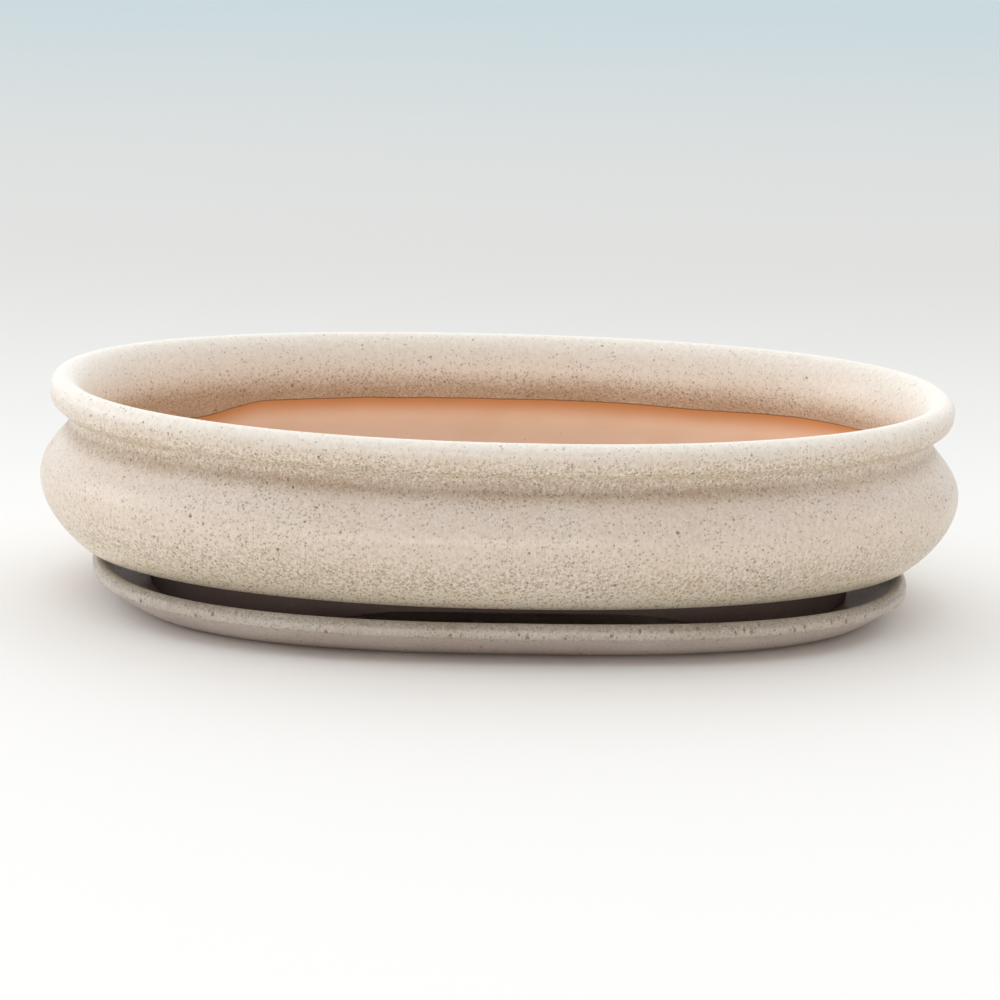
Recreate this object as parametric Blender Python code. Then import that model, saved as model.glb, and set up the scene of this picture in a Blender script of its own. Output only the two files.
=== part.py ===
"""Oval bonsai pot on a foot ring, standing in its own saucer.

Metres, +Z up. The table is at Z = 0, the long way of the oval lies along X, and the pot, its foot
ring and the saucer share one centre. The pot lifts straight up out of the saucer.

Every wall is a loft: one oval outline, drawn again at each point of a side profile, where a profile
point is (inset from the outline, height).
"""

import math

import bmesh
import bpy
from mathutils import Vector
from mathutils.geometry import interpolate_bezier

NAME = "bonsai_pot"

# The pot seen from above, at its belly, which is its widest line.
POT_LENGTH = 0.400
POT_WIDTH = 0.264
POT_FULLNESS = 2.16  # 2 is an ellipse, and more is squarer

# The pot from the side. Depths run down from the rim, and setbacks run in from the belly.
POT_HEIGHT = 0.0874
LIP_RADIUS = 0.0054
LIP_SETBACK = 0.0093  # to the middle of the rolled lip
NECK_DEPTH = 0.0207
NECK_SETBACK = 0.0123
BELLY_DEPTH = 0.0433
UNDERSIDE_SETBACK = 0.0198  # to the edge where the flat underside starts
UNDERSIDE_TILT = math.radians(28)  # of the belly at that edge
WALL = 0.0090
FLOOR = 0.0090

# How long each curve of the side profile keeps its direction, as a share of its stretch.
UNDERSIDE_REACH = 0.39
BELLY_REACH_DOWN = 0.45
BELLY_REACH_UP = 0.49
NECK_REACH_DOWN = 0.18
NECK_REACH_UP = 0.53
LIP_REACH_DOWN = 0.73
MOUTH_REACH_IN = 0.62
MOUTH_REACH_UP = 0.45
RIDGE_REACH = 0.40
ROUND_REACH = 0.5523  # a quarter of an ellipse

# The foot ring, with one shallow arch in front and one behind.
FOOT_HEIGHT = 0.0139
FOOT_END_SETBACK = 0.0480
FOOT_SIDE_SETBACK = 0.0350
FOOT_FULLNESS = 2.66
FOOT_WIDTH = 0.0140
ARCH_SPAN = 0.160
ARCH_HEIGHT = 0.0084
ARCH_SQUARENESS = 5.0
ARCH_STEPS = 24

# Drainage holes through the pot's floor.
DRAIN_HOLE = 0.022
DRAIN_SPACING = 0.140

# The saucer. Its rim stops short of the pot's underside, and its floor just holds the foot ring.
SAUCER_END_SETBACK = 0.0231
SAUCER_SIDE_SETBACK = 0.0058
SAUCER_FULLNESS = 2.66
SAUCER_FLOOR = 0.0060
SAUCER_WALL = 0.0060
BEAD_RADIUS = 0.0036
BAND_HEIGHT = 0.0064  # the upright band under the rim
BAND_STEP = 0.0010
RIM_CLEARANCE = 0.0029
FOOT_ROOM = 0.0010

# Pieces that touch are kept this far apart.
TOUCH_GAP = 0.0003

# Cutters run this far past what they cut.
CUT_PAST = 0.009

# Heights above the table, and the saucer's insets, follow from the sizes above.
FOOT_Z = SAUCER_FLOOR + TOUCH_GAP
UNDERSIDE_Z = FOOT_Z + FOOT_HEIGHT + TOUCH_GAP
RIM_Z = FOOT_Z + POT_HEIGHT
SAUCER_RIM_Z = UNDERSIDE_Z - RIM_CLEARANCE
END_ROOM = FOOT_END_SETBACK - SAUCER_END_SETBACK
SIDE_ROOM = FOOT_SIDE_SETBACK - SAUCER_SIDE_SETBACK
SAUCER_CORNER = min(END_ROOM, SIDE_ROOM) - FOOT_ROOM
SAUCER_FLARE = SAUCER_CORNER - SAUCER_WALL
SAUCER_LEAN = SAUCER_FLARE / 3

# Fineness of the lofts.
SEGMENTS = 64
CURVE_STEPS = 5
HOLE_SEGMENTS = 24
OVAL_SAMPLES = 400
SHARP_ANGLE = math.radians(35)

# Each finish is its colour and roughness.
POT_GLAZE = ((0.62, 0.53, 0.44), 0.35)
FOOT_CLAY = ((0.040, 0.027, 0.022), 0.60)
SAUCER_GLAZE = ((0.44, 0.37, 0.31), 0.40)


def collection_named(name, hidden=False):
    """A new collection in the scene. A hidden one holds cutters."""
    collection = bpy.data.collections.new(name)
    collection.hide_render = hidden
    bpy.context.scene.collection.children.link(collection)
    return collection


def ceramic(name, finish):
    """A plain fired-clay material."""
    color, roughness = finish
    material = bpy.data.materials.new(name)
    material.use_nodes = True
    shader = material.node_tree.nodes["Principled BSDF"]
    shader.inputs["Base Color"].default_value = (*color, 1.0)
    shader.inputs["Roughness"].default_value = roughness
    shader.inputs["Metallic"].default_value = 0.0
    return material


def new_object(name, mesh_data, collection, material=None):
    """The bmesh as an object with its faces pointing out."""
    bmesh.ops.recalc_face_normals(mesh_data, faces=mesh_data.faces)
    mesh = bpy.data.meshes.new(name)
    mesh_data.to_mesh(mesh)
    mesh_data.free()
    obj = bpy.data.objects.new(name, mesh)
    collection.objects.link(obj)
    if material:
        mesh.materials.append(material)
        mesh.shade_smooth()
        mesh.set_sharp_from_angle(angle=SHARP_ANGLE)
    return obj


def even_angles(half_length, half_width, fullness, count):
    """Angles over a quarter of the oval that divide it into equal lengths."""
    points = []
    for i in range(OVAL_SAMPLES + 1):
        angle = i * math.pi / 2 / OVAL_SAMPLES
        points.append(oval_point(half_length, half_width, fullness, angle)[0])
    run = [0.0]
    for before, after in zip(points, points[1:]):
        run.append(run[-1] + (after - before).length)
    angles = []
    at = 0
    for i in range(count + 1):
        wanted = run[-1] * i / count
        while at < OVAL_SAMPLES - 1 and run[at + 1] < wanted:
            at += 1
        share = (wanted - run[at]) / (run[at + 1] - run[at])
        angles.append((at + share) * math.pi / 2 / OVAL_SAMPLES)
    return angles


def oval_point(half_length, half_width, fullness, angle):
    """A point of a superellipse's first quarter, and the outline's outward direction there."""
    c = max(math.cos(angle), 0.0)
    s = max(math.sin(angle), 0.0)
    point = Vector((half_length * c ** (2 / fullness), half_width * s ** (2 / fullness)))
    outward = Vector((c ** (2 - 2 / fullness) / half_length, s ** (2 - 2 / fullness) / half_width))
    return point, outward.normalized()


def oval(half_length, half_width, fullness, segments):
    """The whole oval, counterclockwise from +X, as (point, outward direction) pairs."""
    quarter = segments // 4
    first = []
    for angle in even_angles(half_length, half_width, fullness, quarter):
        first.append(oval_point(half_length, half_width, fullness, angle))
    whole = []
    for side, (sx, sy) in enumerate(((1, 1), (-1, 1), (-1, -1), (1, -1))):
        ordered = first[:-1] if side % 2 == 0 else first[:0:-1]
        turned = Vector((sx, sy))
        for point, outward in ordered:
            whole.append((point * turned, outward * turned))
    return whole


def loft(outline, profile, closed=False):
    """The outline drawn at each profile point, with faces between neighbours.

    An open profile ends in two flat caps. A closed one makes a ring.
    """
    made = bmesh.new()
    rings = []
    for inset, height in profile:
        ring = []
        for point, outward in outline:
            place = point - outward * inset
            ring.append(made.verts.new((place.x, place.y, height)))
        rings.append(ring)
    pairs = list(zip(rings, rings[1:]))
    if closed:
        pairs.append((rings[-1], rings[0]))
    else:
        made.faces.new(rings[0])
        made.faces.new(rings[-1])
    for low, high in pairs:
        for i in range(len(outline)):
            j = (i + 1) % len(outline)
            made.faces.new((low[i], low[j], high[j], high[i]))
    return made


def curve_through(knots):
    """Bezier stretches through knots of (point, handle back, handle on), each point written once."""
    points = []
    for (start, _, handle_on), (end, handle_back, _) in zip(knots, knots[1:]):
        stretch = interpolate_bezier(start, start + handle_on, end + handle_back, end, CURVE_STEPS + 1)
        points.extend(stretch[:-1])
    points.append(knots[-1][0])
    return [(p.x, p.y) for p in points]


def knot(inset, height, back=(0.0, 0.0), on=(0.0, 0.0)):
    """A profile point and its two handles, which are offsets from it."""
    return Vector((inset, height)), Vector(back), Vector(on)


def pot_profile():
    """Up the outside from the flat underside, over the lip and down the inside to the floor."""
    belly_z = RIM_Z - BELLY_DEPTH
    neck_z = RIM_Z - NECK_DEPTH
    lip_z = RIM_Z - LIP_RADIUS
    floor_z = UNDERSIDE_Z + FLOOR
    drop = belly_z - UNDERSIDE_Z
    inner_drop = belly_z - floor_z
    shoulder = neck_z - belly_z
    under_lip = lip_z - neck_z
    tilted = Vector((-math.cos(UNDERSIDE_TILT), math.sin(UNDERSIDE_TILT))) * UNDERSIDE_SETBACK
    round_lip = ROUND_REACH * LIP_RADIUS
    crest = NECK_SETBACK + WALL
    mouth = crest - LIP_SETBACK
    return curve_through(
        [
            knot(UNDERSIDE_SETBACK, UNDERSIDE_Z, on=UNDERSIDE_REACH * tilted),
            knot(0, belly_z, back=(0, -BELLY_REACH_DOWN * drop), on=(0, BELLY_REACH_UP * shoulder)),
            knot(
                NECK_SETBACK,
                neck_z,
                back=(0, -NECK_REACH_DOWN * shoulder),
                on=(0, NECK_REACH_UP * under_lip),
            ),
            knot(
                LIP_SETBACK - LIP_RADIUS,
                lip_z,
                back=(0, -LIP_REACH_DOWN * under_lip),
                on=(0, round_lip),
            ),
            knot(LIP_SETBACK, RIM_Z, back=(-round_lip, 0), on=(MOUTH_REACH_IN * mouth, 0)),
            knot(
                crest,
                neck_z,
                back=(0, MOUTH_REACH_UP * NECK_DEPTH),
                on=(0, -RIDGE_REACH * shoulder),
            ),
            knot(WALL, belly_z, back=(0, RIDGE_REACH * shoulder), on=(0, -ROUND_REACH * inner_drop)),
            knot(WALL + UNDERSIDE_SETBACK, floor_z, back=(-ROUND_REACH * UNDERSIDE_SETBACK, 0)),
        ]
    )


def saucer_profile():
    """Up the leaning outside, over the rim's band and bead, and down the inside to the floor."""
    bead_z = SAUCER_RIM_Z - BEAD_RADIUS
    band_z = SAUCER_RIM_Z - BAND_HEIGHT
    round_bead = ROUND_REACH * BEAD_RADIUS
    return curve_through(
        [
            knot(SAUCER_FLARE, 0, on=(-SAUCER_LEAN, 0)),
            knot(BAND_STEP, band_z, back=(SAUCER_LEAN, -band_z / 3)),
            knot(0, band_z + BAND_STEP),
            knot(0, bead_z, on=(0, round_bead)),
            knot(BEAD_RADIUS, SAUCER_RIM_Z, back=(-round_bead, 0), on=(round_bead, 0)),
            knot(2 * BEAD_RADIUS, bead_z, back=(0, round_bead), on=(0, -round_bead)),
            knot(SAUCER_CORNER, SAUCER_FLOOR, back=(-SAUCER_LEAN, 0)),
        ]
    )


def cut(obj, cutter, name):
    """Take the cutter's shape out of the object."""
    cutter.display_type = "WIRE"
    cutter.hide_render = True
    boolean = obj.modifiers.new(name, "BOOLEAN")
    boolean.operation = "DIFFERENCE"
    boolean.solver = "EXACT"
    boolean.object = cutter


def pot_body(parts, cutters):
    """The glazed wall and floor in one piece, with two drainage holes."""
    outline = oval(POT_LENGTH / 2, POT_WIDTH / 2, POT_FULLNESS, SEGMENTS)
    glaze = ceramic("pot_glaze", POT_GLAZE)
    body = new_object("pot_body", loft(outline, pot_profile()), parts, glaze)
    for side in (-1, 1):
        made = bmesh.new()
        bmesh.ops.create_cone(
            made,
            cap_ends=True,
            segments=HOLE_SEGMENTS,
            radius1=DRAIN_HOLE / 2,
            radius2=DRAIN_HOLE / 2,
            depth=FLOOR + 2 * CUT_PAST,
        )
        name = f"drain_cutter_{'left' if side < 0 else 'right'}"
        cutter = new_object(name, made, cutters)
        cutter.location = (side * DRAIN_SPACING / 2, 0, UNDERSIDE_Z + FLOOR / 2)
        cut(body, cutter, name)
    return body


def arch_cutter(cutters):
    """An arch-shaped bar that runs through the foot ring from front to back."""
    half = ARCH_SPAN / 2
    below = FOOT_Z - CUT_PAST
    outline = [(-half, below)]
    for i in range(ARCH_STEPS + 1):
        share = -math.cos(math.pi * i / ARCH_STEPS)
        rise = ARCH_HEIGHT * (1 - abs(share) ** ARCH_SQUARENESS)
        outline.append((share * half, FOOT_Z + rise))
    outline.append((half, below))
    made = bmesh.new()
    front = [made.verts.new((x, -POT_WIDTH / 2, z)) for x, z in outline]
    face = made.faces.new(front)
    moved = bmesh.ops.extrude_face_region(made, geom=[face])["geom"]
    back = [v for v in moved if isinstance(v, bmesh.types.BMVert)]
    bmesh.ops.translate(made, verts=back, vec=(0, POT_WIDTH, 0))
    return new_object("arch_cutter", made, cutters)


def foot_ring(parts, cutters):
    """The dark ring under the pot, open in front and behind under its arches."""
    outline = oval(
        POT_LENGTH / 2 - FOOT_END_SETBACK,
        POT_WIDTH / 2 - FOOT_SIDE_SETBACK,
        FOOT_FULLNESS,
        SEGMENTS,
    )
    top = FOOT_Z + FOOT_HEIGHT
    section = [(0, FOOT_Z), (0, top), (FOOT_WIDTH, top), (FOOT_WIDTH, FOOT_Z)]
    made = loft(outline, section, closed=True)
    ring = new_object("foot_ring", made, parts, ceramic("foot_clay", FOOT_CLAY))
    cut(ring, arch_cutter(cutters), "arches")
    return ring


def saucer(parts):
    """The tray that the foot ring stands in."""
    outline = oval(
        POT_LENGTH / 2 - SAUCER_END_SETBACK,
        POT_WIDTH / 2 - SAUCER_SIDE_SETBACK,
        SAUCER_FULLNESS,
        SEGMENTS,
    )
    glaze = ceramic("saucer_glaze", SAUCER_GLAZE)
    return new_object("saucer", loft(outline, saucer_profile()), parts, glaze)


def main():
    for obj in list(bpy.data.objects):
        bpy.data.objects.remove(obj, do_unlink=True)
    parts = collection_named(NAME)
    cutters = collection_named(f"{NAME}_cutters", hidden=True)
    saucer(parts)
    lift = bpy.data.objects.new("pot_lift", None)
    lift.location = (0, 0, FOOT_Z)
    parts.objects.link(lift)
    bpy.context.view_layer.update()
    for piece in (pot_body(parts, cutters), foot_ring(parts, cutters)):
        piece.parent = lift
        piece.matrix_parent_inverse = lift.matrix_world.inverted()


main()
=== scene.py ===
"""Fine surfaces and finishes for an oval bonsai pot and its saucer. Metres, +Z up.

Each piece is a loft made by geometry nodes: one oval outline, drawn again at each point of a side
profile. The pot body, its foot ring and the saucer each have an operator, and so has the stage.
"""

import math

import bmesh
import bpy
from bpy.props import FloatProperty, FloatVectorProperty, PointerProperty
from mathutils import Matrix, Vector


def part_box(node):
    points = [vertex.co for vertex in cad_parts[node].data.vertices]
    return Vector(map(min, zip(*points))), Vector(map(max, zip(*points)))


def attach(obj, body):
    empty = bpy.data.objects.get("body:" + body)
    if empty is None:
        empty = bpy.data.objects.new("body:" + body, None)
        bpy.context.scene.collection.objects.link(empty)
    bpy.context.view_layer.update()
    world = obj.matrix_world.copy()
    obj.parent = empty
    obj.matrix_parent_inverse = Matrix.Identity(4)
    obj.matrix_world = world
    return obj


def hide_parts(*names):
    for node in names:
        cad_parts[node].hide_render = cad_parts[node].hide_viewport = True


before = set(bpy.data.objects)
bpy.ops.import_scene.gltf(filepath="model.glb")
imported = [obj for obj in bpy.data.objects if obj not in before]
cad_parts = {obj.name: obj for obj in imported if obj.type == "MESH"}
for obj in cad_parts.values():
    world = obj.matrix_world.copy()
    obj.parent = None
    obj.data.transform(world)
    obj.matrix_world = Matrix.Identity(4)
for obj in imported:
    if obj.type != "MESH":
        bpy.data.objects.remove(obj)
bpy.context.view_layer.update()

bl_info = {
    "name": "Oval Bonsai Pot",
    "version": (1, 0, 0),
    "blender": (4, 5, 0),
    "location": "View3D > Sidebar > Bonsai Pot",
    "description": "Builds a glazed oval bonsai pot with its foot ring and saucer",
    "category": "Object",
}

POT_LOW, POT_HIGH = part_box("pot_body")
FOOT_LOW, FOOT_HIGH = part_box("foot_ring")
TRAY_LOW, TRAY_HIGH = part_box("saucer")

ROUND = 0.5523  # the handle length that makes a Bezier stretch a quarter of an ellipse
CENTRE_REACH = 0.012  # profile Y at which a loft has closed to its centre
MERGE_WITHIN = 2e-6  # points closer than this, at seams and centres, become one
ARCH_SQUARENESS = 5.0  # 2 is a parabola, more is flatter on top
WAVER_FADE = 0.004  # height over which the hand-made unevenness sets in
LIP_CREST = 6  # the lip's crest among the knots of the pot's profile

# How long each curve of the pot's side profile keeps its direction, as a share of its stretch.
UNDERSIDE_REACH = 0.39
BELLY_REACH_DOWN = 0.45
BELLY_REACH_UP = 0.49
NECK_REACH_DOWN = 0.18
NECK_REACH_UP = 0.53
LIP_REACH_DOWN = 0.73
MOUTH_REACH_IN = 0.62
MOUTH_REACH_UP = 0.45
RIDGE_REACH = 0.40


def length(name, description, default):
    return FloatProperty(
        name=name, description=description, default=default, min=0.0, unit="LENGTH", precision=4
    )


def shade(name, description, default):
    return FloatVectorProperty(
        name=name, description=description, default=default, min=0.0, max=1.0, size=3, subtype="COLOR"
    )


class PotSizes(bpy.types.PropertyGroup):
    """Sizes of the pot body."""

    half_length: length("Half length", "From the centre to the belly at an end", POT_HIGH.x)
    half_width: length("Half width", "From the centre to the belly at a side", POT_HIGH.y)
    rim_height: length("Rim height", "Top of the lip above the table", POT_HIGH.z)
    underside: length("Underside", "The flat underside above the table", POT_LOW.z)
    lip_radius: length("Lip radius", "Radius of the rolled lip", 0.0054)
    lip_setback: length("Lip setback", "From the belly in to the middle of the lip", 0.0093)
    neck_depth: length("Neck depth", "From the rim down to the neck groove", 0.0207)
    neck_setback: length("Neck setback", "From the belly in to the neck groove", 0.0123)
    belly_depth: length("Belly depth", "From the rim down to the widest line", 0.0433)
    underside_setback: length("Underside setback", "From the belly in to the flat underside", 0.0198)
    underside_tilt: FloatProperty(
        name="Underside tilt",
        description="Slope of the belly at its lower edge",
        default=math.radians(28),
        unit="ROTATION",
    )
    underside_soft: length("Underside softness", "Radius of the belly's lower edge", 0.0010)
    wall: length("Wall", "Thickness of the wall", 0.009)
    floor: length("Floor", "Thickness of the floor", 0.009)
    glaze_depth: length("Glaze depth", "From the rim down to the glaze's edge inside", 0.0315)
    glaze_dip: length("Glaze dip", "How much lower the glaze's edge runs at the left end", 0.007)
    drain_hole: length("Drain hole", "Diameter of each drainage hole", 0.022)
    drain_spacing: length("Drain spacing", "Between the middles of the holes", 0.140)
    hole_round: length("Hole rounding", "Radius of the drainage holes' edges", 0.0015)
    sag: length("Sag", "How far the long sides' rim has sunk in the kiln", 0.0016)
    waver: length("Waver", "Depth of the hand-made unevenness", 0.0005)
    fullness: FloatProperty(name="Fullness", description="2 is an ellipse, more is squarer", default=2.16)


class FootSizes(bpy.types.PropertyGroup):
    """Sizes of the foot ring."""

    half_length: length("Half length", "From the centre to the ring's end", FOOT_HIGH.x)
    half_width: length("Half width", "From the centre to the ring's side", FOOT_HIGH.y)
    base: length("Base", "The ring's lower face above the table", FOOT_LOW.z)
    top: length("Top", "The ring's upper face above the table", FOOT_HIGH.z)
    thickness: length("Thickness", "Thickness of the ring", 0.014)
    rounding: length("Rounding", "Radius of the lower edges", 0.0012)
    arch_span: length("Arch span", "Width of each arch at its foot", 0.160)
    arch_height: length("Arch height", "Height of each arch", 0.0084)
    fullness: FloatProperty(name="Fullness", description="2 is an ellipse, more is squarer", default=2.66)


class SaucerSizes(bpy.types.PropertyGroup):
    """Sizes of the saucer."""

    half_length: length("Half length", "From the centre to the rim at an end", TRAY_HIGH.x)
    half_width: length("Half width", "From the centre to the rim at a side", TRAY_HIGH.y)
    height: length("Height", "Top of the rim above the table", TRAY_HIGH.z)
    bead: length("Bead", "Radius of the rim's bead", 0.0036)
    band: length("Band", "From the rim down to the upright band's lower edge", 0.0064)
    band_step: length("Band step", "How far the side starts in under the band", 0.0010)
    floor: length("Floor", "Thickness of the floor", 0.006)
    corner: length("Corner", "From the rim in to the flat floor", 0.0239)
    flare: length("Flare", "From the rim in to the flat underside", 0.0179)
    base_round: length("Base rounding", "Softness of the lower edge", 0.0030)
    waver: length("Waver", "Depth of the hand-made unevenness", 0.0003)
    fullness: FloatProperty(name="Fullness", description="2 is an ellipse, more is squarer", default=2.66)


class Finishes(bpy.types.PropertyGroup):
    """Colours of the glazes and clays."""

    cream: shade("Cream", "The glaze where it is thick", (0.74, 0.625, 0.52))
    pale: shade("Pale", "The glaze's lightest flecks", (0.86, 0.81, 0.745))
    lilac: shade("Lilac", "The cool tone high on the belly", (0.66, 0.56, 0.50))
    olive: shade("Olive", "The tone where the glaze runs thin over iron", (0.68, 0.56, 0.38))
    # Hem: partly the glaze's own yellower tone low on the belly, and partly painted light, made lighter to
    # stand in for floor bounce on the downward-facing lower edge.
    hem_and_painted_light: shade("Hem", "The thick glaze along the belly's lower edge", (0.98, 0.86, 0.66))
    # Tan: the glaze's own brown, laid in the neck's crease and low in the inner band partly as painted shade.
    tan: shade("Tan", "The tone in the neck's crease", (0.47, 0.345, 0.245))
    straw: shade("Straw", "The small flecks that show through thin glaze", (0.40, 0.32, 0.19))
    speck: shade("Speck", "Iron specks", (0.12, 0.078, 0.045))
    mauve: shade("Mauve", "The saucer's side", (0.51, 0.43, 0.385))
    saucer_band: shade("Saucer band", "The saucer's rim", (0.40, 0.35, 0.29))
    # Saucer top: partly the rim crest's own grey-green glaze, and partly painted shade from the pot's belly,
    # which overhangs the rim.
    saucer_crest_and_shade: shade("Saucer top", "The crest of the saucer's rim", (0.25, 0.21, 0.165))
    # Rust also tints the saucer's lowest band, where it is partly painted contact shade.
    rust: shade("Rust", "Rust specks along the saucer's rim", (0.22, 0.105, 0.045))
    bisque: shade("Bisque", "Bare clay inside the pot", (1.0, 0.79, 0.64))
    bisque_pale: shade("Pale bisque", "The clay's sandy grains", (0.97, 0.79, 0.66))
    # Warm bisque: the clay's darker clouds, and also the painted shade just below the glaze's edge.
    bisque_warm_and_shade: shade("Warm bisque", "The clay's darker clouds", (0.66, 0.31, 0.125))
    edge: shade("Edge", "The dark line where the glaze ends", (0.16, 0.075, 0.035))
    foot: shade("Foot", "The foot ring's dark clay", (0.125, 0.092, 0.085))
    foot_dark: shade("Dark foot", "The foot ring's darker clouds", (0.085, 0.062, 0.055))
    foot_pale: shade("Pale foot", "The foot ring's sandy grains", (0.22, 0.17, 0.15))


class StageLook(bpy.types.PropertyGroup):
    """The camera and the floor."""

    distance: length("Distance", "From the camera to the point it looks at", 1.5)
    look_at: FloatVectorProperty(
        name="Look at",
        description="The point the camera looks at",
        default=(-0.00038, 0.0, 0.0403),
        unit="LENGTH",
    )
    azimuth: FloatProperty(name="Azimuth", description="Turn round the pot", default=-5.26)
    elevation: FloatProperty(name="Elevation", description="Height above the horizon", default=12.94)
    roll: FloatProperty(name="Roll", description="Tilt of the picture", default=2.25)
    lens: FloatProperty(name="Lens", description="Focal length in millimetres", default=123.55)
    floor_near: shade("Near floor", "Floor in front of the pot", (0.85, 0.83, 0.815))
    # The middle and far floor tones are painted light: darker and bluer with distance, standing in for
    # falloff and a cool cast.
    floor_middle: shade("Middle floor", "Floor a metre behind the pot", (0.660, 0.650, 0.635))
    floor_far: shade("Far floor", "Floor far behind the pot", (0.535, 0.617, 0.645))


class Nodes:
    """Short calls for adding and wiring nodes in one tree."""

    def __init__(self, tree):
        self.tree = tree

    def feed(self, socket, value):
        if isinstance(value, bpy.types.NodeSocket):
            self.tree.links.new(value, socket)
        elif value is not None:
            socket.default_value = value

    def add(self, kind, inputs=(), **settings):
        node = self.tree.nodes.new(kind)
        for name, value in settings.items():
            setattr(node, name, value)
        for key, value in dict(inputs).items():
            self.feed(node.inputs[key], value)
        return node

    def math(self, operation, *values):
        node = self.add("ShaderNodeMath", operation=operation)
        for socket, value in zip(node.inputs, values):
            self.feed(socket, value)
        return node.outputs[0]

    def vector(self, operation, *values):
        node = self.add("ShaderNodeVectorMath", operation=operation)
        for socket, value in zip(node.inputs, values):
            self.feed(socket, value)
        return node.outputs[0]

    def scale(self, vector, factor):
        node = self.add("ShaderNodeVectorMath", {"Scale": factor}, operation="SCALE")
        self.feed(node.inputs[0], vector)
        return node.outputs[0]

    def between(self, value, low, high, to_low=0.0, to_high=1.0):
        """The value's smooth step from low to high."""
        node = self.add(
            "ShaderNodeMapRange",
            {0: value, 1: low, 2: high, 3: to_low, 4: to_high},
            interpolation_type="SMOOTHSTEP",
        )
        return node.outputs[0]

    def bump_at(self, value, middle, spread):
        """1 where the value is at the middle, and 0 a spread away from it on both sides."""
        away = self.math("ABSOLUTE", self.math("SUBTRACT", value, middle))
        return self.between(away, spread, 0.0)

    def colour(self, rgb):
        return (*rgb, 1.0)

    def mix(self, factor, first, second, blend="MIX"):
        node = self.add("ShaderNodeMix", data_type="RGBA", blend_type=blend)
        for index, value in ((0, factor), (6, first), (7, second)):
            if not isinstance(value, (bpy.types.NodeSocket, float)):
                value = self.colour(value)
            self.feed(node.inputs[index], value)
        return node.outputs[2]

    def blend(self, factor, first, second):
        """A number between the first and the second."""
        node = self.add("ShaderNodeMix", {0: factor, 2: first, 3: second}, data_type="FLOAT")
        return node.outputs[0]

    def noise(self, position, scale, detail=2.0, roughness=0.5):
        return self.noise_node(position, scale, detail, roughness).outputs[0]

    def noise_colour(self, position, scale):
        """A vector of three noises about zero."""
        return self.vector("SUBTRACT", self.noise_node(position, scale, 0.0, 0.5).outputs[1], (0.5, 0.5, 0.5))

    def noise_node(self, position, scale, detail, roughness):
        return self.add(
            "ShaderNodeTexNoise",
            {"Vector": position, "Scale": scale, "Detail": detail, "Roughness": roughness},
        )


# Geometry nodes: the oval loft


LOFT_INPUTS = (
    ("Profile", "NodeSocketObject", None),
    ("Half Length", "NodeSocketFloat", 0.2),
    ("Half Width", "NodeSocketFloat", 0.13),
    ("Fullness", "NodeSocketFloat", 2.0),
    ("Around", "NodeSocketInt", 320),
    ("Along", "NodeSocketInt", 200),
    ("Rim Height", "NodeSocketFloat", 0.1),
    ("Sag", "NodeSocketFloat", 0.0),
    ("Sag From", "NodeSocketFloat", 0.0),
    ("Arch Span", "NodeSocketFloat", 0.1),
    ("Arch Height", "NodeSocketFloat", 0.0),
    ("Base Height", "NodeSocketFloat", 0.0),
    ("Waver", "NodeSocketFloat", 0.0),
    ("Waver From", "NodeSocketFloat", 0.0),
    ("Seed", "NodeSocketFloat", 0.0),
    ("Material", "NodeSocketMaterial", None),
)


def signed_power(nodes, value, exponent):
    size = nodes.math("POWER", nodes.math("ABSOLUTE", value), exponent)
    return nodes.math("MULTIPLY", size, nodes.math("SIGN", value))


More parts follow.
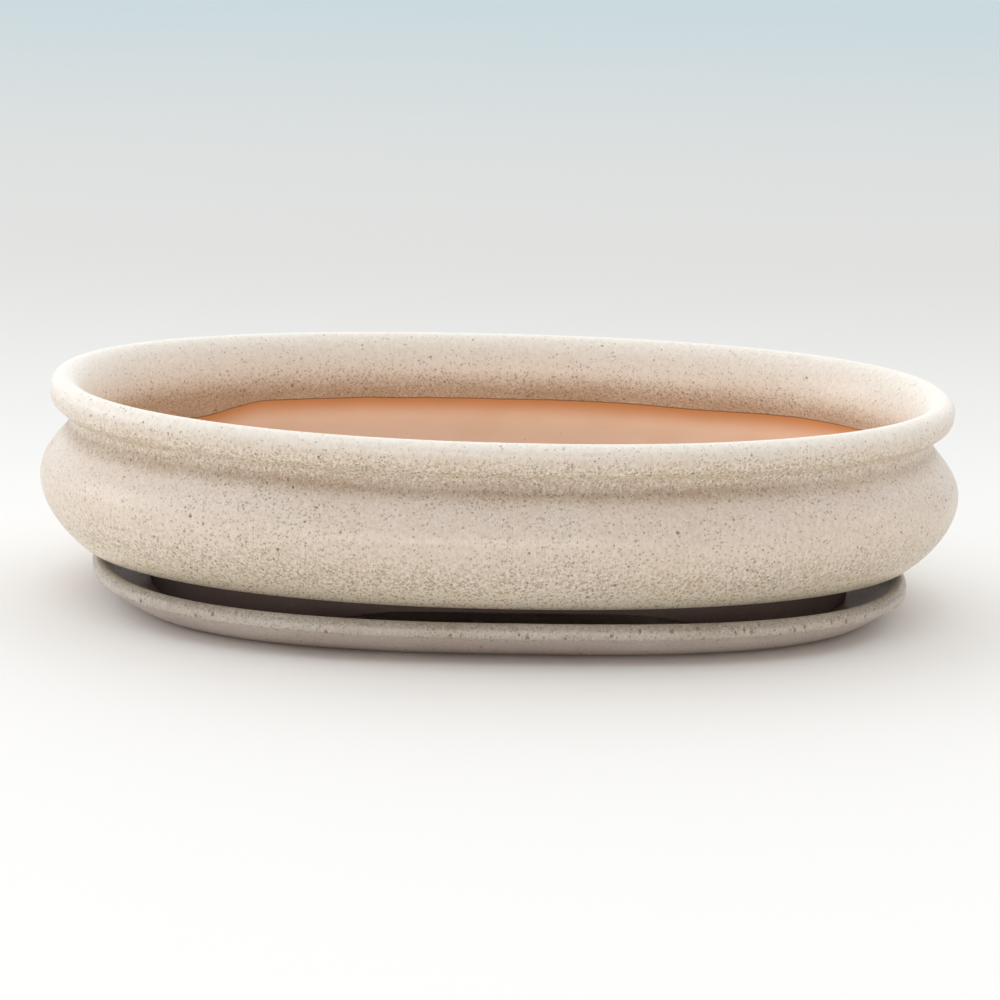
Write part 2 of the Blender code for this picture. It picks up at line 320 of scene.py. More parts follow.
def loft_tree():
    """Nodes that draw an oval outline at each point of a side profile and skin the rings.

    The profile curve's X is the inset from the outline, its Z is the height, and its Y closes the
    ring towards the centre.
    """
    tree = bpy.data.node_groups.new("oval_loft", "GeometryNodeTree")
    tree.interface.new_socket("Geometry", in_out="OUTPUT", socket_type="NodeSocketGeometry")
    for name, kind, default in LOFT_INPUTS:
        socket = tree.interface.new_socket(name, in_out="INPUT", socket_type=kind)
        if default is not None:
            socket.default_value = default
    n = Nodes(tree)
    given = n.add("NodeGroupInput").outputs
    grid = n.add(
        "GeometryNodeMeshGrid",
        {"Size X": 1.0, "Size Y": 1.0, "Vertices X": given["Around"], "Vertices Y": given["Along"]},
    )
    place = n.add("ShaderNodeSeparateXYZ", {0: n.add("GeometryNodeInputPosition").outputs[0]})
    along = n.math("ADD", place.outputs[1], 0.5)
    angle = n.math("MULTIPLY", n.math("ADD", place.outputs[0], 0.5), math.tau)
    cosine = n.math("COSINE", angle)
    sine = n.math("SINE", angle)

    outline_power = n.math("DIVIDE", 2.0, given["Fullness"])
    normal_power = n.math("SUBTRACT", 2.0, outline_power)
    outline = n.add("ShaderNodeCombineXYZ")
    outward = n.add("ShaderNodeCombineXYZ")
    for axis, (turn, half) in enumerate(((cosine, given["Half Length"]), (sine, given["Half Width"]))):
        n.feed(outline.inputs[axis], n.math("MULTIPLY", signed_power(n, turn, outline_power), half))
        n.feed(outward.inputs[axis], n.math("DIVIDE", signed_power(n, turn, normal_power), half))
    outward = n.vector("NORMALIZE", outward.outputs[0])

    profile = n.add("GeometryNodeObjectInfo", {"Object": given["Profile"]})
    sample = n.add("GeometryNodeSampleCurve", {"Curves": profile.outputs["Geometry"], "Factor": along})
    spot = n.add("ShaderNodeSeparateXYZ", {0: sample.outputs["Position"]})
    ring = n.vector("SUBTRACT", outline.outputs[0], n.scale(outward, spot.outputs[0]))
    ring = n.scale(ring, n.math("SUBTRACT", 1.0, n.math("DIVIDE", spot.outputs[1], CENTRE_REACH)))
    flat = n.add("ShaderNodeSeparateXYZ", {0: ring})

    rise = n.between(spot.outputs[2], given["Sag From"], given["Rim Height"])
    drop = n.math("MULTIPLY", n.math("MULTIPLY", n.math("POWER", sine, 2.0), rise), given["Sag"])
    height = n.math("SUBTRACT", spot.outputs[2], drop)
    reach = n.math("DIVIDE", flat.outputs[0], n.math("DIVIDE", given["Arch Span"], 2.0))
    arch = n.math("SUBTRACT", 1.0, n.math("POWER", n.math("ABSOLUTE", reach), ARCH_SQUARENESS))
    arch = n.math("MULTIPLY", n.math("MAXIMUM", arch, 0.0), given["Arch Height"])
    below_top = n.math("SUBTRACT", given["Rim Height"], height)
    whole = n.math("SUBTRACT", given["Rim Height"], given["Base Height"])
    height = n.math("ADD", height, n.math("MULTIPLY", arch, n.math("DIVIDE", below_top, whole)))
    where = n.add("ShaderNodeCombineXYZ", {0: flat.outputs[0], 1: flat.outputs[1], 2: height})

    kept = n.add(
        "GeometryNodeStoreNamedAttribute",
        {"Geometry": grid.outputs["Mesh"], "Name": "along", "Value": along},
        data_type="FLOAT",
        domain="POINT",
    )
    placed = n.add("GeometryNodeSetPosition", {"Geometry": kept.outputs[0], "Position": where.outputs[0]})
    closed = n.add("GeometryNodeMergeByDistance", {"Geometry": placed.outputs[0], "Distance": MERGE_WITHIN})

    position = n.add("GeometryNodeInputPosition").outputs[0]
    shifted = n.vector("ADD", position, n.add("ShaderNodeCombineXYZ", {0: given["Seed"]}).outputs[0])
    broad = n.noise(shifted, 9.0, detail=1.0)
    tooled = n.noise(shifted, 45.0, detail=1.0)
    depth = n.math("ADD", n.math("MULTIPLY", broad, 0.8), n.math("MULTIPLY", tooled, 0.2))
    depth = n.math("MULTIPLY", n.math("SUBTRACT", depth, 1.0), given["Waver"])
    level = n.add("ShaderNodeSeparateXYZ", {0: position}).outputs[2]
    above = n.math("ADD", given["Waver From"], WAVER_FADE)
    depth = n.math("MULTIPLY", depth, n.between(level, given["Waver From"], above))
    push = n.scale(n.add("GeometryNodeInputNormal").outputs[0], depth)
    uneven = n.add("GeometryNodeSetPosition", {"Geometry": closed.outputs[0], "Offset": push})

    smooth = n.add("GeometryNodeSetShadeSmooth", {"Geometry": uneven.outputs[0]})
    real = n.add("GeometryNodeRealizeInstances", {"Geometry": smooth.outputs[0]})
    finished = n.add(
        "GeometryNodeSetMaterial", {"Geometry": real.outputs[0], "Material": given["Material"]}
    )
    out = n.add("NodeGroupOutput")
    tree.links.new(finished.outputs[0], out.inputs[0])
    return tree


def knot(inset, height, back=(0.0, 0.0), on=(0.0, 0.0), close=0.0):
    """A profile point with its two handles, each (inset, height)."""
    return Vector((inset, close, height)), Vector((back[0], 0.0, back[1])), Vector((on[0], 0.0, on[1]))


def profile_curve(name, knots):
    """The side profile as a Bezier curve object."""
    curve = bpy.data.curves.new(name, "CURVE")
    curve.dimensions = "3D"
    curve.resolution_u = 32
    spline = curve.splines.new("BEZIER")
    spline.bezier_points.add(len(knots) - 1)
    for point, (place, back, on) in zip(spline.bezier_points, knots):
        point.handle_left_type = "FREE"
        point.handle_right_type = "FREE"
        point.co = place
        point.handle_left = place + back
        point.handle_right = place + on
    obj = bpy.data.objects.new(name, curve)
    bpy.context.scene.collection.objects.link(obj)
    return obj


def plain_mesh(obj, name):
    """The evaluated object as a plain mesh object at the origin. The first one is removed."""
    bpy.context.view_layer.update()
    graph = bpy.context.evaluated_depsgraph_get()
    seen = obj.evaluated_get(graph)
    mesh = bpy.data.meshes.new_from_object(seen, preserve_all_data_layers=True, depsgraph=graph)
    mesh.name = name
    made = bpy.data.objects.new(name, mesh)
    bpy.context.scene.collection.objects.link(made)
    bpy.data.objects.remove(obj, do_unlink=True)
    return made


def loft(name, knots, material, **values):
    """A piece lofted through the knots, as a plain mesh."""
    tree = bpy.data.node_groups.get("oval_loft") or loft_tree()
    profile = profile_curve(f"{name}_profile", knots)
    values.update({"Profile": profile, "Material": material})
    carrier = bpy.data.objects.new(f"{name}_loft", bpy.data.meshes.new(f"{name}_loft"))
    bpy.context.scene.collection.objects.link(carrier)
    modifier = carrier.modifiers.new("Loft", "NODES")
    modifier.node_group = tree
    for item in tree.interface.items_tree:
        if item.in_out == "INPUT" and item.name in values:
            modifier[item.identifier] = values[item.name]
    made = plain_mesh(carrier, name)
    bpy.data.objects.remove(profile, do_unlink=True)
    turn_outwards(made)
    return made


def turn_outwards(obj):
    """Points every face of a closed mesh away from its inside."""
    edit = bmesh.new()
    edit.from_mesh(obj.data)
    bmesh.ops.recalc_face_normals(edit, faces=edit.faces)
    edit.to_mesh(obj.data)
    edit.free()


def hand_over(piece, node, body):
    """Ties the finished piece to its body in place of the plain solid."""
    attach(piece, body)
    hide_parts(node)


# Materials


def new_material(name):
    material = bpy.data.materials.new(name)
    material.use_nodes = True
    return material, Nodes(material.node_tree), material.node_tree.nodes["Principled BSDF"]


# The glaze's specks: cells per metre, share of the cells filled, smallest and largest radius, darkness.
SPECKS = (
    (1000.0, 0.72, 0.00030, 0.00056, 0.52),
    (560.0, 0.50, 0.00040, 0.00074, 0.62),
    (200.0, 0.26, 0.00060, 0.00100, 0.88),
)


def specks(n, position, scale, share, small, large):
    """Round specks: a mask that is 1 inside them. The share of cells that hold one may be a socket."""
    cells = n.add("ShaderNodeTexVoronoi", {"Vector": position, "Scale": scale, "Randomness": 1.0})
    pick = n.add("ShaderNodeSeparateColor", {0: cells.outputs["Color"]})
    radius = n.add("ShaderNodeMapRange", {0: pick.outputs[1], 3: small * scale, 4: large * scale}).outputs[0]
    inner = n.math("MULTIPLY", radius, 0.65)
    round_spot = n.between(cells.outputs["Distance"], radius, inner)
    return n.math("MULTIPLY", round_spot, n.math("LESS_THAN", pick.outputs[0], share))


def glaze(n, finish, place, crowd, thin, tones):
    """A speckled cream glaze. Returns its colour, roughness and height.

    crowd is how thickly the specks lie and thin is where straw-coloured flecks show. tones are
    (where, how much, colour) washes over the cream.
    """
    ragged = n.vector("ADD", place, n.scale(n.noise_colour(place, 1400.0), 0.0005))
    streaked = n.vector("MULTIPLY", ragged, (1.2, 1.2, 0.8))
    clouds = n.noise(place, 24.0, detail=3.0)
    mottle = n.noise(place, 420.0, detail=3.0, roughness=0.65)
    grain = n.noise(streaked, 680.0, detail=2.0, roughness=0.6)
    colour = finish.cream
    for where, amount, tone in tones:
        colour = n.mix(n.math("MULTIPLY", where, amount), colour, tone)
    colour = n.mix(n.math("MULTIPLY", n.between(clouds, 0.35, 0.7), 0.18), colour, finish.pale)
    uneven = n.between(mottle, 0.33, 0.68, 0.95, 1.03)
    shading = n.add("ShaderNodeCombineColor", {0: uneven, 1: uneven, 2: uneven}).outputs[0]
    colour = n.mix(1.0, colour, shading, "MULTIPLY")
    straw = n.math("MULTIPLY", thin, n.between(grain, 0.47, 0.35))
    colour = n.mix(n.math("MULTIPLY", straw, 0.75), colour, finish.straw)
    flecks = n.between(grain, 0.53, 0.61)
    amount = n.math("ADD", n.math("MULTIPLY", thin, 0.70), 0.12)
    colour = n.mix(n.math("MULTIPLY", flecks, amount), colour, finish.pale)

    dark = 0.0
    for scale, share, small, large, strength in SPECKS:
        spots = specks(n, ragged, scale, n.math("MULTIPLY", crowd, share), small, large)
        dark = n.math("MAXIMUM", dark, n.math("MULTIPLY", spots, strength))
    dark = n.math("MULTIPLY", dark, n.between(mottle, 0.30, 0.60, 1.0, 0.65))
    colour = n.mix(dark, colour, finish.speck)
    roughness = n.math("ADD", n.math("MULTIPLY", mottle, 0.14), 0.27)
    roughness = n.math("ADD", roughness, n.math("MULTIPLY", dark, 0.2))
    height = n.math("ADD", n.math("MULTIPLY", mottle, 0.55), n.math("MULTIPLY", grain, 0.20))
    height = n.math("SUBTRACT", height, n.math("MULTIPLY", dark, 0.30))
    return colour, roughness, height


def finish_shader(n, shader, colour, roughness, height, relief, strength=0.5):
    """Wires a colour, roughness and relief to the shader."""
    n.feed(shader.inputs["Base Color"], colour)
    n.feed(shader.inputs["Roughness"], roughness)
    bump = n.add("ShaderNodeBump", {"Height": height, "Distance": relief, "Strength": strength})
    n.feed(shader.inputs["Normal"], bump.outputs[0])


def pot_material(sizes, finish, lip_along):
    """Cream glaze outside, over the lip and down to a line inside, and bare clay below that."""
    material, n, shader = new_material("pot_glaze")
    place = n.add("ShaderNodeTexCoord").outputs["Object"]
    part = n.add("ShaderNodeSeparateXYZ", {0: place}).outputs
    depth = n.math("SUBTRACT", sizes.rim_height, part[2])
    along = n.add("ShaderNodeAttribute", attribute_name="along").outputs["Fac"]
    below_belly = sizes.rim_height - sizes.underside
    underneath = n.math("GREATER_THAN", depth, below_belly - 0.0004)
    inside = n.math("MAXIMUM", n.math("GREATER_THAN", along, lip_along), underneath)
    outside = n.math("SUBTRACT", 1.0, inside)

    # Crown: partly the lip's own paler glaze with few specks, and partly a painted highlight on the lip's
    # top. Inside, it reaches further down as painted light on the upper inner wall.
    crown_and_highlight_ends = n.blend(inside, 0.009, 0.026)
    crown_and_highlight = n.between(depth, crown_and_highlight_ends, n.math("MULTIPLY", crown_and_highlight_ends, 0.4))
    under_lip = n.bump_at(depth, sizes.neck_depth - 0.006, 0.009)
    # Neck crease: partly the glaze's own pinkish brown in the groove, and partly painted shade where the
    # groove falls into shadow.
    crease = n.bump_at(depth, sizes.neck_depth + 0.0015, 0.0060)
    # Painted light: the crease is lighter towards the right end, to make up for the weaker light on that
    # side.
    crease = n.math("MULTIPLY", crease, n.between(part[0], 0.06, 0.15, 1.0, 0.5))
    shoulder = n.math("MULTIPLY", n.bump_at(depth, sizes.belly_depth - 0.012, 0.013), outside)
    low = n.between(depth, sizes.belly_depth - 0.006, sizes.belly_depth + 0.022)
    # Lower edge band: the glaze's yellower tone with fewer specks, plus painted bounce light that lightens
    # the downward-facing edge.
    hem_and_painted_light = n.between(depth, below_belly - 0.014, below_belly - 0.003)
    # Lower inner band: partly thinner brown glaze, and partly painted shade under the inner ridge with
    # painted warm bounce light from the bare clay.
    inner_low_tone_and_shade = n.math("MULTIPLY", n.between(depth, 0.016, sizes.glaze_depth - 0.003), inside)
    # Painted sheen: fewer specks towards both ends, standing in for glare that hides them there.
    ends = n.between(n.math("ABSOLUTE", part[0]), sizes.half_length * 0.5, sizes.half_length * 0.95)

    patch = n.between(n.noise(place, 26.0, detail=3.0), 0.40, 0.62)
    crowd = 0.26
    for where, amount in ((under_lip, 0.75), (crease, 0.7), (low, 0.65), (inner_low_tone_and_shade, 1.3), (patch, 0.45)):
        crowd = n.math("ADD", n.math("MULTIPLY", where, amount), crowd)
    for where, amount in ((crown_and_highlight, 0.8), (ends, 0.45), (hem_and_painted_light, 0.6)):
        crowd = n.math("MULTIPLY", crowd, n.math("SUBTRACT", 1.0, n.math("MULTIPLY", where, amount)))
    thin = n.math("MAXIMUM", n.math("MAXIMUM", low, n.math("MULTIPLY", under_lip, outside)), 0.22)
    tones = (
        (crown_and_highlight, 0.75, finish.pale),
        (shoulder, 0.5, finish.lilac),
        (n.math("MULTIPLY", under_lip, outside), 0.45, finish.olive),
        (n.math("MULTIPLY", crease, outside), 0.9, finish.tan),
        (low, 0.35, finish.olive),
        (hem_and_painted_light, 0.9, finish.hem_and_painted_light),
        (inner_low_tone_and_shade, 0.9, finish.tan),
    )
    colour, roughness, height = glaze(n, finish, place, crowd, thin, tones)

    wander = n.math("MULTIPLY", n.math("SUBTRACT", n.noise(place, 22.0, detail=3.0), 0.5), 0.0026)
    dip = n.between(part[0], -0.100, -0.133, 0.0, sizes.glaze_dip)
    dip = n.math("ADD", dip, n.between(part[0], 0.10, 0.15, 0.0, -0.0022))
    line = n.math("ADD", n.math("ADD", wander, dip), sizes.glaze_depth)
    beyond = n.math("SUBTRACT", depth, line)
    below_line = n.math("MULTIPLY", n.between(beyond, -0.00015, 0.00015), inside)
    at_line = n.math("MULTIPLY", n.bump_at(beyond, 0.0, 0.0006), inside)

    sand = n.noise(place, 1100.0, detail=3.0, roughness=0.7)
    cloudy = n.noise(place, 28.0, detail=3.0)
    clay = n.mix(n.math("MULTIPLY", n.between(sand, 0.35, 0.7), 0.30), finish.bisque, finish.bisque_pale)
    clay = n.mix(n.math("MULTIPLY", n.between(cloudy, 0.4, 0.7), 0.10), clay, finish.bisque_warm_and_shade)
    # Painted shade: the clay turns darker and warmer over the 12 mm below the glaze's edge, where the inner
    # ridge shades it.
    painted_shade_below_line = n.between(beyond, 0.012, 0.0)
    clay = n.mix(painted_shade_below_line, clay, finish.bisque_warm_and_shade)
    clay_specks = specks(n, place, 420.0, 0.05, 0.00015, 0.0004)
    clay = n.mix(n.math("MULTIPLY", clay_specks, 0.4), clay, finish.edge)

    colour = n.mix(below_line, colour, clay)
    colour = n.mix(n.math("MULTIPLY", at_line, 0.8), colour, finish.edge)
    clay_roughness = n.math("ADD", n.math("MULTIPLY", sand, 0.15), 0.78)
    blend = n.blend(below_line, roughness, clay_roughness)
    clay_height = n.math("SUBTRACT", n.math("MULTIPLY", sand, 0.5), 1.2)
    surface = n.blend(below_line, height, clay_height)
    finish_shader(n, shader, colour, blend, surface, 0.00022)
    return material


def saucer_material(sizes, finish):
    """A greyer glaze, with rust specks along the rim, a rim crest darkened partly by painted shade, and a
    brown band at the foot that is partly bare clay and partly painted contact shade.
    """
    material, n, shader = new_material("saucer_glaze")
    place = n.add("ShaderNodeTexCoord").outputs["Object"]
    level = n.add("ShaderNodeSeparateXYZ", {0: place}).outputs[2]
    wander = n.math("MULTIPLY", n.math("SUBTRACT", n.noise(place, 160.0, detail=2.0), 0.5), 0.0022)
    raised = n.math("ADD", level, wander)
    band = n.between(raised, sizes.height - sizes.band - 0.0006, sizes.height - sizes.band + 0.0006)
    # Rim crest: partly its own darker glaze, and partly painted shade under the pot's overhanging belly.
    top = n.between(level, sizes.height - 0.0035, sizes.height - 0.0012)
    # Lowest band: the bare clay's brown, partly painted contact shade where the saucer meets the floor.
    hem_and_painted_light = n.between(level, 0.0032, 0.0004)
    edge = n.bump_at(raised, sizes.height - sizes.band, 0.0016)
    crowd = 0.12
    for where, amount in ((band, 0.45), (top, 0.8), (edge, 0.6)):
        crowd = n.math("ADD", n.math("MULTIPLY", where, amount), crowd)
    tones = (
        (n.math("SUBTRACT", 1.0, band), 1.0, finish.mauve),
        (band, 0.9, finish.saucer_band),
        (top, 0.9, finish.saucer_crest_and_shade),
        (hem_and_painted_light, 0.6, finish.rust),
    )
    colour, roughness, height = glaze(n, finish, place, crowd, 0.05, tones)
    stretch = n.vector("MULTIPLY", place, (0.7, 0.7, 0.45))
    share = n.math("ADD", n.math("MULTIPLY", n.math("MAXIMUM", band, edge), 0.42), 0.015)
    rust = specks(n, stretch, 430.0, share, 0.00035, 0.00075)
    ragged = n.between(n.noise(place, 1300.0, detail=2.0), 0.30, 0.52)
    colour = n.mix(n.math("MULTIPLY", n.math("MULTIPLY", rust, ragged), 0.85), colour, finish.rust)
    finish_shader(n, shader, colour, roughness, height, 0.00022)
    return material


def foot_material(finish):
    """Dark matt clay with a sandy grain."""
    material, n, shader = new_material("foot_clay")
    place = n.add("ShaderNodeTexCoord").outputs["Object"]
    sand = n.noise(place, 1000.0, detail=3.0, roughness=0.7)
    cloudy = n.noise(place, 40.0, detail=3.0)
    colour = n.mix(n.math("MULTIPLY", n.between(cloudy, 0.35, 0.7), 0.5), finish.foot, finish.foot_dark)
    colour = n.mix(n.math("MULTIPLY", n.between(sand, 0.5, 0.75), 0.4), colour, finish.foot_pale)
    roughness = n.math("ADD", n.math("MULTIPLY", sand, 0.2), 0.55)
    finish_shader(n, shader, colour, roughness, sand, 0.0002)
    return material


# Pieces


def pot_knots(s):
    """The pot's side, from the middle of its underside out, up, over the lip and in to the floor."""
    belly = s.rim_height - s.belly_depth
    neck = s.rim_height - s.neck_depth
    lip = s.rim_height - s.lip_radius
    floor = s.underside + s.floor
    drop = belly - s.underside
    inner_drop = belly - floor
    shoulder = neck - belly
    under_lip = lip - neck
    round_lip = ROUND * s.lip_radius
    corner = s.wall + s.underside_setback
    crest = s.neck_setback + s.wall
    mouth = crest - s.lip_setback
    edge = Vector((s.underside_setback, s.underside))
    tilted = Vector((-math.cos(s.underside_tilt), math.sin(s.underside_tilt)))
    soft = s.underside_soft
    turned = edge + soft * tilted
    reach = (UNDERSIDE_REACH * s.underside_setback - soft) * tilted
    return [
        knot(edge.x + soft, edge.y, close=CENTRE_REACH),
        knot(edge.x + soft, edge.y, on=(-ROUND * soft, 0)),
        knot(turned.x, turned.y, back=-ROUND * soft * tilted, on=reach),
        knot(0, belly, back=(0, -BELLY_REACH_DOWN * drop), on=(0, BELLY_REACH_UP * shoulder)),
        knot(
            s.neck_setback,
            neck,
            back=(0, -NECK_REACH_DOWN * shoulder),
            on=(0, NECK_REACH_UP * under_lip),
        ),
        knot(s.lip_setback - s.lip_radius, lip, back=(0, -LIP_REACH_DOWN * under_lip), on=(0, round_lip)),
        knot(s.lip_setback, s.rim_height, back=(-round_lip, 0), on=(MOUTH_REACH_IN * mouth, 0)),
        knot(crest, neck, back=(0, MOUTH_REACH_UP * s.neck_depth), on=(0, -RIDGE_REACH * shoulder)),
        knot(s.wall, belly, back=(0, RIDGE_REACH * shoulder), on=(0, -ROUND * inner_drop)),
        knot(corner, floor, back=(-ROUND * s.underside_setback, 0)),
        knot(corner, floor, close=CENTRE_REACH),
    ]


def run_to(knots, wanted):
    """The share of the profile's length at the wanted knot."""
    curve = profile_curve("measure", knots)
    bpy.context.view_layer.update()
    mesh = bpy.data.meshes.new_from_object(curve.evaluated_get(bpy.context.evaluated_depsgraph_get()))
    places = [v.co.copy() for v in mesh.vertices]
    target = knots[wanted][0]
    run = [0.0]
    for before, after in zip(places, places[1:]):
        run.append(run[-1] + (after - before).length)
    nearest = min(range(len(places)), key=lambda i: (places[i] - target).length)
    bpy.data.objects.remove(curve, do_unlink=True)
    bpy.data.meshes.remove(mesh)
    return run[nearest] / run[-1]


def drain_cutter(sizes, side):
    """A turned plug whose two bell mouths leave the hole's edges rounded."""
    radius = sizes.drain_hole / 2
    soft = sizes.hole_round
    low, high = sizes.underside, sizes.underside + sizes.floor
    steps = 6
    profile = [(radius + soft, low - 0.003)]
    for i in range(steps + 1):
        turn = i / steps * math.pi / 2
        profile.append((radius + soft * (1 - math.sin(turn)), low + soft * (1 - math.cos(turn))))
    for i in range(steps, -1, -1):
        turn = i / steps * math.pi / 2
        profile.append((radius + soft * (1 - math.sin(turn)), high - soft * (1 - math.cos(turn))))
    profile.append((radius + soft, high + 0.003))
    around = 64
    made = bmesh.new()
    rings = []
    for out, height in profile:
        ring = []
        for i in range(around):
            turn = math.tau * i / around
            across = side * sizes.drain_spacing / 2
            ring.append(made.verts.new((across + out * math.cos(turn), out * math.sin(turn), height)))
        rings.append(ring)
    made.faces.new(rings[0])
    made.faces.new(rings[-1])
    for below, above in zip(rings, rings[1:]):
        for i in range(around):
            j = (i + 1) % around
            made.faces.new((below[i], below[j], above[j], above[i]))
    bmesh.ops.recalc_face_normals(made, faces=made.faces)
    mesh = bpy.data.meshes.new("drain_cutter")
    made.to_mesh(mesh)
    made.free()
    obj = bpy.data.objects.new("drain_cutter", mesh)
    bpy.context.scene.collection.objects.link(obj)
    return obj


def cut_drains(body, sizes):
    """The body with its two drainage holes, as a plain mesh."""
    name = body.name
    body.name = f"{name}_uncut"
    cutters = [drain_cutter(sizes, side) for side in (-1, 1)]
    for cutter in cutters:
        boolean = body.modifiers.new("Drain", "BOOLEAN")
        boolean.solver = "EXACT"
        boolean.object = cutter
    made = plain_mesh(body, name)
    for cutter in cutters:
        bpy.data.objects.remove(cutter, do_unlink=True)
    mark_bare(made.data, sizes)
    made.data.shade_smooth()
    return made


def mark_bare(mesh, sizes):
    """Counts the points around the holes as inside the pot, so that no glaze shows there."""
    marks = mesh.attributes["along"].data
    for point in mesh.vertices:
        if math.hypot(abs(point.co.x) - sizes.drain_spacing / 2, point.co.y) < sizes.drain_hole:
            marks[point.index].value = 1.0


class POT_OT_body(bpy.types.Operator):
    """Build the glazed pot body with its drainage holes"""

    bl_idname = "bonsai_pot.body"
    bl_label = "Pot Body"

    def execute(self, context):
        sizes = context.scene.pot_sizes
        knots = pot_knots(sizes)
        lip_along = run_to(knots, LIP_CREST)
        material = pot_material(sizes, context.scene.pot_finishes, lip_along)
        body = loft(
            "glazed_pot_body",
            knots,
            material,
            **{
                "Half Length": sizes.half_length,
                "Half Width": sizes.half_width,
                "Fullness": sizes.fullness,
                "Around": 321,
                "Along": 230,
                "Rim Height": sizes.rim_height,
                "Sag": sizes.sag,
                "Sag From": sizes.rim_height - sizes.belly_depth,
                "Waver": sizes.waver,
                "Waver From": sizes.underside,
                "Seed": 3.0,
            },
        )
        hand_over(cut_drains(body, sizes), "pot_body", "pot")
        return {"FINISHED"}


def foot_knots(s):
    """Round the foot ring's section: up the outside, across the top and down the inside."""
    soft = s.rounding
    bend = ROUND * soft
    inner = s.thickness
    return [
        knot(soft, s.base, on=(-bend, 0)),
        knot(0, s.base + soft, back=(0, -bend)),
        knot(0, s.top),
        knot(inner, s.top),
        knot(inner, s.base + soft, on=(0, -bend)),
        knot(inner - soft, s.base, back=(bend, 0)),
        knot(soft, s.base),
    ]


class POT_OT_foot(bpy.types.Operator):
    """Build the foot ring with its two arches"""

    bl_idname = "bonsai_pot.foot"
    bl_label = "Foot Ring"

    def execute(self, context):
        sizes = context.scene.foot_sizes
        ring = loft(
            "foot_ring_clay",
            foot_knots(sizes),
            foot_material(context.scene.pot_finishes),
            **{
                "Half Length": sizes.half_length,
                "Half Width": sizes.half_width,
                "Fullness": sizes.fullness,
                "Around": 321,
                "Along": 81,
                "Rim Height": sizes.top,
                "Base Height": sizes.base,
                "Arch Span": sizes.arch_span,
                "Arch Height": sizes.arch_height,
            },
        )
        ring.data.set_sharp_from_angle(angle=math.radians(40))
        hand_over(ring, "foot_ring", "pot")
        return {"FINISHED"}


def saucer_knots(s):
    """The saucer's side, from the middle of its underside out, over the bead and in to its floor."""
    bead = s.height - s.bead
    band = s.height - s.band
    bend = ROUND * s.bead
    lean = s.flare / 3
    step = ROUND * s.band_step
    return [
        knot(s.flare + s.base_round, 0, close=CENTRE_REACH),
        knot(s.flare + s.base_round, 0, on=(-s.base_round - lean / 3, 0)),
        knot(s.band_step, band, back=(lean, -band / 3), on=(-step, step / 2)),
        knot(0, band + s.band_step, back=(0, -step)),
        knot(0, bead, on=(0, bend)),
        knot(s.bead, s.height, back=(-bend, 0), on=(bend, 0)),
        knot(2 * s.bead, bead, back=(0, bend), on=(0, -bend)),
        knot(s.corner, s.floor, back=(-lean, 0)),
        knot(s.corner, s.floor, close=CENTRE_REACH),
    ]


class POT_OT_saucer(bpy.types.Operator):
    """Build the glazed saucer"""

    bl_idname = "bonsai_pot.saucer"
    bl_label = "Saucer"

    def execute(self, context):
        sizes = context.scene.saucer_sizes
        tray = loft(
            "glazed_saucer",
            saucer_knots(sizes),
            saucer_material(sizes, context.scene.pot_finishes),
            **{
                "Half Length": sizes.half_length,
                "Half Width": sizes.half_width,
                "Fullness": sizes.fullness,
                "Around": 401,
                "Along": 120,
                "Rim Height": sizes.height,
                "Waver": sizes.waver,
                "Waver From": 0.004,
                "Seed": 11.0,
            },
        )
        hand_over(tray, "saucer", "saucer")
        return {"FINISHED"}


# Stage


SKY_FROM = (-0.08, 0.60, 0.90)  # the sky is brightest this way

# The soft boxes: name, place, width and height, watts, colour.
LIGHTS = (
    ("left_light", (-2.4, 0.1, 0.70), (1.4, 1.0), 12.0, (0.98, 0.99, 1.0)),
    ("right_light", (2.4, -0.4, 0.90), (1.2, 1.2), 5.0, (1.0, 0.92, 0.84)),
    ("front_light", (-0.3, -3.0, 0.34), (2.6, 0.9), 27.0, (1.0, 0.95, 0.91)),
)


def floor_material(look):
    """Pale paper, darker and bluer behind the pot: painted falloff of light and a painted cool cast."""
    material, n, shader = new_material("studio_floor")
    place = n.add("ShaderNodeTexCoord").outputs["Object"]
    back = n.add("ShaderNodeSeparateXYZ", {0: place}).outputs[1]
    # Painted falloff and cool cast: the paper's tone darkens and turns bluer with distance.
    colour = n.mix(n.between(back, -0.1, 1.0), look.floor_near, look.floor_middle)
    colour = n.mix(n.between(back, 0.9, 3.3), colour, look.floor_far)
    n.feed(shader.inputs["Base Color"], colour)
    shader.inputs["Roughness"].default_value = 0.9
    shader.inputs["Specular IOR Level"].default_value = 0.1
    return material


def add_floor(look):
    bpy.ops.mesh.primitive_circle_add(vertices=128, radius=9.0, fill_type="NGON")
    floor = bpy.context.object
    floor.name = "studio_floor"
    floor.data.materials.append(floor_material(look))


def add_camera(look):
    """The camera looks at a point from a distance, turned and raised round it."""
    turn, rise = math.radians(look.azimuth), math.radians(look.elevation)
    back = Vector((math.sin(turn) * math.cos(rise), -math.cos(turn) * math.cos(rise), math.sin(rise)))
    data = bpy.data.cameras.new("studio_camera")
    data.lens = look.lens
    camera = bpy.data.objects.new("studio_camera", data)
    aim = (-back).to_track_quat("-Z", "Y").to_matrix()
    camera.matrix_world = (
        Matrix.Translation(Vector(look.look_at) + back * look.distance)
        @ (aim @ Matrix.Rotation(math.radians(look.roll), 3, "Z")).to_4x4()
    )
    bpy.context.scene.collection.objects.link(camera)
    bpy.context.scene.camera = camera


def soft_box(name, place, size, power, colour):
    """A large area light aimed at the pot."""
    data = bpy.data.lights.new(name, "AREA")
    data.shape = "RECTANGLE"
    data.size, data.size_y = size
    data.energy = power
    data.color = colour
    light = bpy.data.objects.new(name, data)
    light.location = place
    light.rotation_euler = (Vector((0, 0, 0.05)) - Vector(place)).to_track_quat("-Z", "Y").to_euler()
    bpy.context.scene.collection.objects.link(light)


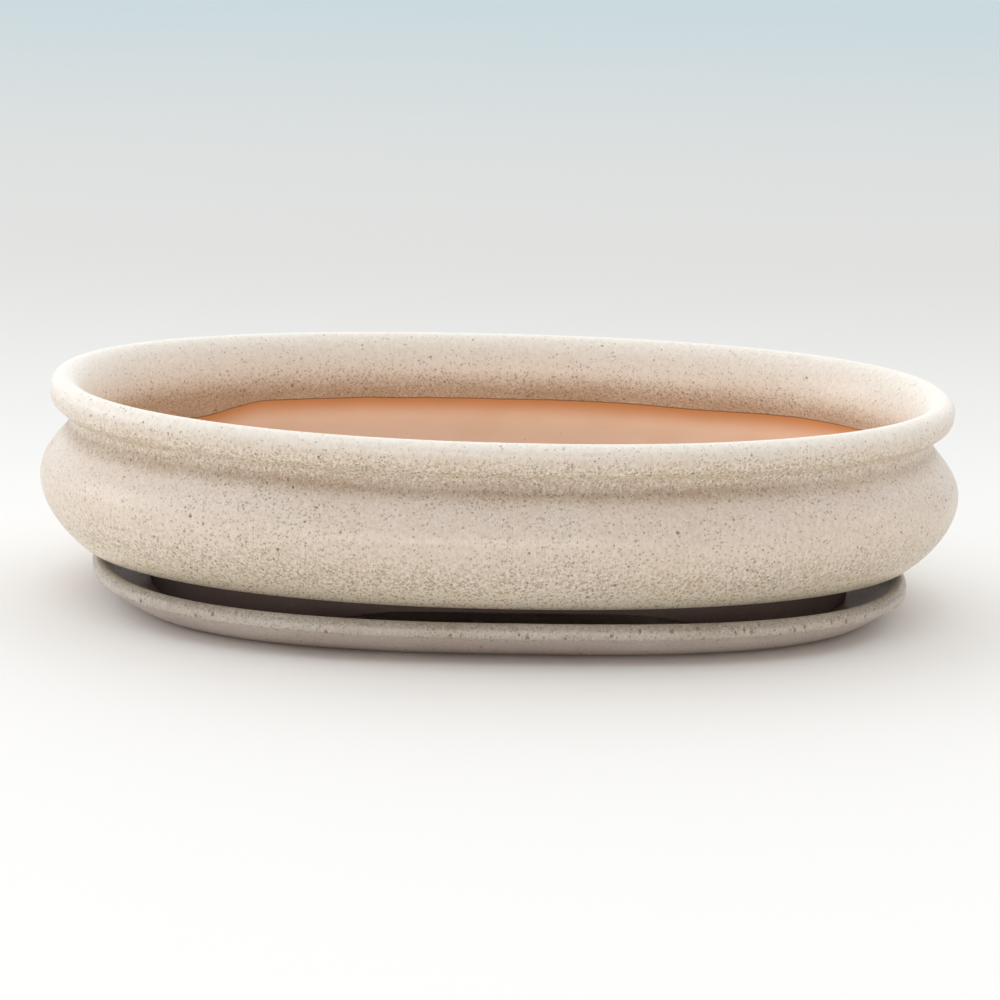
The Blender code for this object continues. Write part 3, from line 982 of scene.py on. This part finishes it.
def add_world():
    """Sky light that is strongest overhead and a little behind."""
    world = bpy.data.worlds.new("studio_world")
    world.use_nodes = True
    n = Nodes(world.node_tree)
    way = n.add("ShaderNodeTexCoord").outputs["Generated"]
    aimed = n.add("ShaderNodeVectorMath", {0: way, 1: SKY_FROM}, operation="DOT_PRODUCT")
    lift = aimed.outputs["Value"]
    background = world.node_tree.nodes["Background"]
    tint = n.mix(n.between(lift, 0.0, 0.7), (1.0, 0.94, 0.88), (0.95, 0.985, 1.0))
    n.feed(background.inputs["Color"], tint)
    n.feed(background.inputs["Strength"], n.between(lift, -0.10, 0.95, 0.17, 1.55))
    bpy.context.scene.world = world


class POT_OT_stage(bpy.types.Operator):
    """Build the floor, the camera and the lights"""

    bl_idname = "bonsai_pot.stage"
    bl_label = "Stage"

    def execute(self, context):
        look = context.scene.stage_look
        add_camera(look)
        add_floor(look)
        add_world()
        for light in LIGHTS:
            soft_box(*light)
        context.scene.view_settings.view_transform = "Standard"
        return {"FINISHED"}


class POT_PT_panel(bpy.types.Panel):
    """Builders of the bonsai pot"""

    bl_idname = "POT_PT_panel"
    bl_label = "Bonsai Pot"
    bl_space_type = "VIEW_3D"
    bl_region_type = "UI"
    bl_category = "Bonsai Pot"

    def draw(self, context):
        for operator in OPERATORS:
            self.layout.operator(operator.bl_idname)


OPERATORS = (POT_OT_body, POT_OT_foot, POT_OT_saucer, POT_OT_stage)
GROUPS = {
    "pot_sizes": PotSizes,
    "foot_sizes": FootSizes,
    "saucer_sizes": SaucerSizes,
    "pot_finishes": Finishes,
    "stage_look": StageLook,
}


def register():
    for group in GROUPS.values():
        bpy.utils.register_class(group)
    for operator in OPERATORS:
        bpy.utils.register_class(operator)
    bpy.utils.register_class(POT_PT_panel)
    for name, group in GROUPS.items():
        setattr(bpy.types.Scene, name, PointerProperty(type=group))


def unregister():
    for name in GROUPS:
        delattr(bpy.types.Scene, name)
    bpy.utils.unregister_class(POT_PT_panel)
    for operator in OPERATORS:
        bpy.utils.unregister_class(operator)
    for group in GROUPS.values():
        bpy.utils.unregister_class(group)


def main():
    register()
    bpy.ops.bonsai_pot.body()
    bpy.ops.bonsai_pot.foot()
    bpy.ops.bonsai_pot.saucer()
    bpy.ops.bonsai_pot.stage()


if __name__ == "__main__":
    main()
